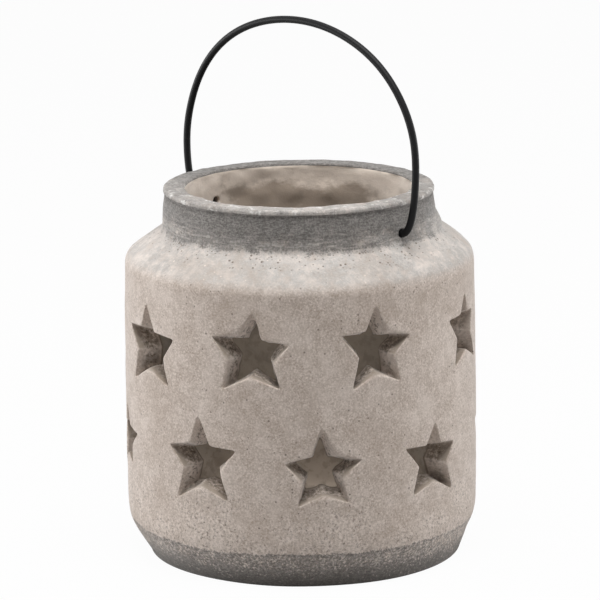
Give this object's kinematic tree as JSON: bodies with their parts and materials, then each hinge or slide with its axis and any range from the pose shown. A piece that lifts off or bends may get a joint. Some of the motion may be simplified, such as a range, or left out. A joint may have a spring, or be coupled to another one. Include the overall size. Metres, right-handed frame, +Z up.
{
  "type": "star lantern",
  "caption": "Cast cement candle lantern: a round pot with rows of star-shaped holes, an open neck and a swinging black wire bail, with a tealight on its floor.",
  "frame": {"origin": "centre of the base's underside", "axes": "+Z up the pot's axis; +X along the bail's hinge line, towards one neck hole; the front of the picture lies between +X and -Y"},
  "size_m": [0.1508, 0.1508, 0.2329],
  "materials": {
    "cement": "cast grey-beige cement, dry and matt, with a rubbed dark wash on the neck and the base band",
    "black_wire": "black coated steel wire, satin",
    "cup_aluminium": "thin drawn aluminium, bright",
    "wax": "off-white wax, smooth",
    "tab_steel": "tinned sheet",
    "wick_cotton": "waxed cotton braid, unburnt"
  },
  "bodies": {
    "lantern": {"lantern_body": "cement"},
    "bail": {"bail_handle": "black_wire"},
    "tealight": {"tealight_cup": "cup_aluminium", "tealight_wax": "wax", "tealight_wick_tab": "tab_steel", "tealight_wick": "wick_cotton"}
  },
  "joints": [
    {"name": "bail_swing", "type": "hinge", "parent": "lantern", "child": "bail", "pos_m": [0, 0, 0.1465], "axis": [1, 0, 0], "range_deg": [-108, 108]},
    {"name": "tealight_lift", "type": "slide", "parent": "lantern", "child": "tealight", "axis": [0, 0, 1], "range_m": [0, 0.16]}
  ]
}
